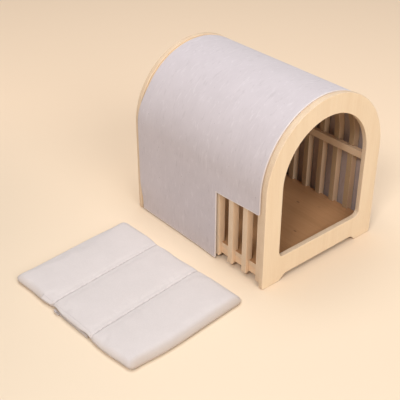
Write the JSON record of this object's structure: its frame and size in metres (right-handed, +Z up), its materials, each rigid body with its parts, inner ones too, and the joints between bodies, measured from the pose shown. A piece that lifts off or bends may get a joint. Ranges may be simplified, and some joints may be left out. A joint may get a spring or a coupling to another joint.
{
  "type": "cat house",
  "caption": "Arched plywood cat house with spaced ribs, a lift-off felt cover cut away at one corner, and a quilted mat with a zip that folds along its seams.",
  "frame": {"origin": "on the ground, in the middle of the rectangle that the house and its mat cover together", "axes": "+X from the mat to the house, +Y from the doorway to the closed rear end, +Z up"},
  "size_m": [0.752, 0.4821, 0.416],
  "materials": {
    "birch_ply": "satin clear lacquer",
    "rib_ply": "sanded ply edge",
    "peg_wood": "bare",
    "steel": "zinc plated",
    "felt": "matt felt",
    "hook_tape": "fine hooks",
    "mat_cloth": "short soft pile",
    "zip_cloth": "woven tape",
    "zip_metal": "satin"
  },
  "bodies": {
    "house": {"front_panel": "birch_ply", "rear_panel": "birch_ply", "rib_01": "rib_ply", "rib_02": "rib_ply", "rib_03": "rib_ply", "rib_04": "rib_ply", "rib_05": "rib_ply", "rib_06": "rib_ply", "rib_07": "rib_ply", "rib_08": "rib_ply", "rib_09": "rib_ply", "rib_10": "rib_ply", "left_bottom_rail": "rib_ply", "right_bottom_rail": "rib_ply", "left_side_rail": "rib_ply", "right_side_rail": "rib_ply", "floor_panel": "birch_ply", "front_rail_pegs": "peg_wood", "rear_rail_pegs": "peg_wood", "front_rib_pegs": "peg_wood", "rear_rib_pegs": "peg_wood", "left_foot_pegs": "peg_wood", "right_foot_pegs": "peg_wood", "floor_screws": "steel", "left_hook_pads": "hook_tape", "right_hook_pads": "hook_tape"},
    "cover": {"felt_cover": "felt"},
    "mat_middle": {"mat_middle_pad": "mat_cloth", "zip_tape": "zip_cloth"},
    "mat_front": {"mat_front_pad": "mat_cloth"},
    "mat_rear": {"mat_rear_pad": "mat_cloth"},
    "zip": {"zip_slider": "zip_metal"}
  },
  "joints": [
    {"name": "cover_lift", "type": "slide", "parent": "house", "child": "cover", "axis": [0, 0, 1], "range_m": [0, 0.45]},
    {"name": "mat_lift", "type": "slide", "parent": "house", "child": "mat_middle", "axis": [0, 0, 1], "range_m": [0, 0.3]},
    {"name": "mat_front_fold", "type": "hinge", "parent": "mat_middle", "child": "mat_front", "pos_m": [-0.20899, -0.08959, 0.011], "axis": [-0.9954, -0.0958, 0], "range_deg": [0, 170]},
    {"name": "mat_rear_fold", "type": "hinge", "parent": "mat_middle", "child": "mat_rear", "pos_m": [-0.21501, 0.04827, 0.011], "axis": [0.9954, 0.0958, 0], "range_deg": [0, 90]},
    {"name": "zip_slide", "type": "slide", "parent": "mat_middle", "child": "zip", "axis": [0.0436, -0.999, 0], "range_m": [0, 0.1]}
  ]
}
